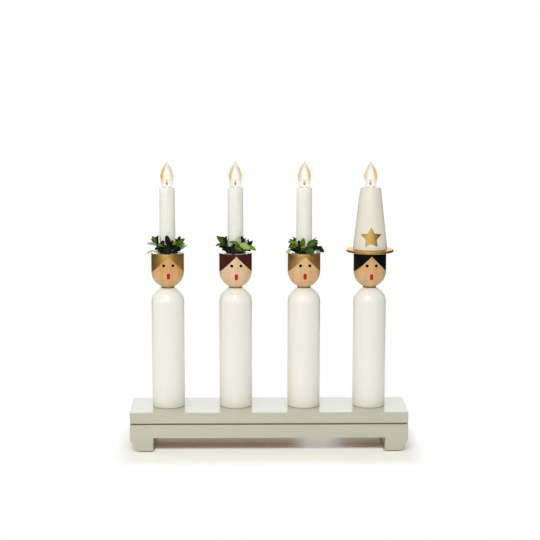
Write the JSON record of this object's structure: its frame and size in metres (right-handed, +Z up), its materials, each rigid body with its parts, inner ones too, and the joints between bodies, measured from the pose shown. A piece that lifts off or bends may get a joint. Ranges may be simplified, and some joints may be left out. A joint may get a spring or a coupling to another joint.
{
  "type": "advent candle holder",
  "caption": "Electric advent candlestick: a row of turned wooden choir figures on a painted bench, with candle sleeves and small screw lamps, leaf wreaths and a cone hat.",
  "frame": {"origin": "on the table under the middle of the bench", "axes": "+X along the row to the viewer's right, +Y to the back, +Z up; the figures look along -Y"},
  "size_m": [0.3208, 0.076, 0.3323],
  "materials": {
    "bench_paint": "satin pale grey-green paint",
    "zinc_steel": "zinc plated",
    "felt": "matt felt",
    "rubber": "matt",
    "white_lacquer": "satin off-white lacquer",
    "clear_maple": "clear satin lacquer on pale turned wood",
    "gold_paint": "metallic gold paint",
    "brown_paint": "gloss dark brown paint",
    "black_paint": "gloss black paint",
    "red_paint": "gloss red paint",
    "plated_tube": "zinc plated thread",
    "brass": "plain brass",
    "candle_plastic": "satin ivory plastic",
    "holder_plastic": "matt insulating plastic",
    "spring_steel": "bright wire",
    "nickel_cap": "nickel plated",
    "lamp_glass": "clear",
    "lit_diode": "lit, warm white",
    "green_leaf": "satin artificial leaf",
    "gold_foil": "metallic gold foil",
    "black_wire": "wire insulation",
    "red_wire": "wire insulation"
  },
  "bodies": {
    "bench_and_figures": {"top_board": "bench_paint", "bench_rail": "bench_paint", "bench_feet": "bench_paint", "board_screws": "zinc_steel", "felt_pads": "felt", "cable_bush": "rubber", "body_1": "white_lacquer", "body_2": "white_lacquer", "body_3": "white_lacquer", "body_4": "white_lacquer", "head_1": "clear_maple", "head_2": "clear_maple", "head_3": "clear_maple", "head_4": "clear_maple", "hair_gold": "gold_paint", "hair_brown": "brown_paint", "hair_black": "black_paint", "eyes": "black_paint", "mouths": "red_paint", "stem_tubes": "plated_tube", "stem_nuts": "brass", "base_washers": "zinc_steel", "candle_sleeve_1": "candle_plastic", "candle_sleeve_2": "candle_plastic", "candle_sleeve_3": "candle_plastic", "candle_sleeve_4": "candle_plastic", "lampholder_1": "holder_plastic", "lampholder_2": "holder_plastic", "lampholder_3": "holder_plastic", "lampholder_4": "holder_plastic", "thread_shells": "brass", "contact_spring_1": "spring_steel", "contact_spring_2": "spring_steel", "contact_spring_3": "spring_steel", "contact_spring_4": "spring_steel", "link_wires": "black_wire", "feed_wires": "red_wire", "splice_sleeves": "red_wire"},
    "contact_1": {"contact_pin_1": "brass"},
    "lamp_1": {"lamp_cap_1": "nickel_cap", "lamp_glass_1": "lamp_glass", "lamp_diode_1": "lit_diode"},
    "contact_2": {"contact_pin_2": "brass"},
    "lamp_2": {"lamp_cap_2": "nickel_cap", "lamp_glass_2": "lamp_glass", "lamp_diode_2": "lit_diode"},
    "contact_3": {"contact_pin_3": "brass"},
    "lamp_3": {"lamp_cap_3": "nickel_cap", "lamp_glass_3": "lamp_glass", "lamp_diode_3": "lit_diode"},
    "contact_4": {"contact_pin_4": "brass"},
    "lamp_4": {"lamp_cap_4": "nickel_cap", "lamp_glass_4": "lamp_glass", "lamp_diode_4": "lit_diode"},
    "leaf_wreath_1": {"wreath_1": "green_leaf"},
    "leaf_wreath_2": {"wreath_2": "green_leaf"},
    "leaf_wreath_3": {"wreath_3": "green_leaf"},
    "hat": {"hat_brim": "gold_paint", "hat_cone": "white_lacquer", "hat_star": "gold_foil"}
  },
  "joints": [
    {"name": "contact_1_rise", "type": "slide", "parent": "bench_and_figures", "child": "contact_1", "axis": [0, 0, 1], "range_m": [0, 0.00137], "deforming": ["contact_spring_1"]},
    {"name": "lamp_1_turn", "type": "hinge", "parent": "contact_1", "child": "lamp_1", "pos_m": [-0.117, 0, 0.287], "axis": [0, 0, 1], "range_deg": [0, 270]},
    {"name": "contact_2_rise", "type": "slide", "parent": "bench_and_figures", "child": "contact_2", "axis": [0, 0, 1], "range_m": [0, 0.00137], "deforming": ["contact_spring_2"]},
    {"name": "lamp_2_turn", "type": "hinge", "parent": "contact_2", "child": "lamp_2", "pos_m": [-0.03853, 0, 0.287], "axis": [0, 0, 1], "range_deg": [0, 270]},
    {"name": "contact_3_rise", "type": "slide", "parent": "bench_and_figures", "child": "contact_3", "axis": [0, 0, 1], "range_m": [0, 0.00137], "deforming": ["contact_spring_3"]},
    {"name": "lamp_3_turn", "type": "hinge", "parent": "contact_3", "child": "lamp_3", "pos_m": [0.04072, 0, 0.287], "axis": [0, 0, 1], "range_deg": [0, 270]},
    {"name": "contact_4_rise", "type": "slide", "parent": "bench_and_figures", "child": "contact_4", "axis": [0, 0, 1], "range_m": [0, 0.00137], "deforming": ["contact_spring_4"]},
    {"name": "lamp_4_turn", "type": "hinge", "parent": "contact_4", "child": "lamp_4", "pos_m": [0.117, 0, 0.287], "axis": [0, 0, 1], "range_deg": [0, 270]},
    {"name": "wreath_1_lift", "type": "slide", "parent": "bench_and_figures", "child": "leaf_wreath_1", "axis": [0, 0, 1], "range_m": [0, 0.106]},
    {"name": "wreath_2_lift", "type": "slide", "parent": "bench_and_figures", "child": "leaf_wreath_2", "axis": [0, 0, 1], "range_m": [0, 0.106]},
    {"name": "wreath_3_lift", "type": "slide", "parent": "bench_and_figures", "child": "leaf_wreath_3", "axis": [0, 0, 1], "range_m": [0, 0.106]},
    {"name": "hat_lift", "type": "slide", "parent": "bench_and_figures", "child": "hat", "axis": [0, 0, 1], "range_m": [0, 0.106]}
  ],
  "couplings": [
    {"joint": "contact_1_rise", "follows": "lamp_1_turn", "m_per_rad": 0.00028871},
    {"joint": "contact_2_rise", "follows": "lamp_2_turn", "m_per_rad": 0.00028871},
    {"joint": "contact_3_rise", "follows": "lamp_3_turn", "m_per_rad": 0.00028871},
    {"joint": "contact_4_rise", "follows": "lamp_4_turn", "m_per_rad": 0.00028871}
  ]
}
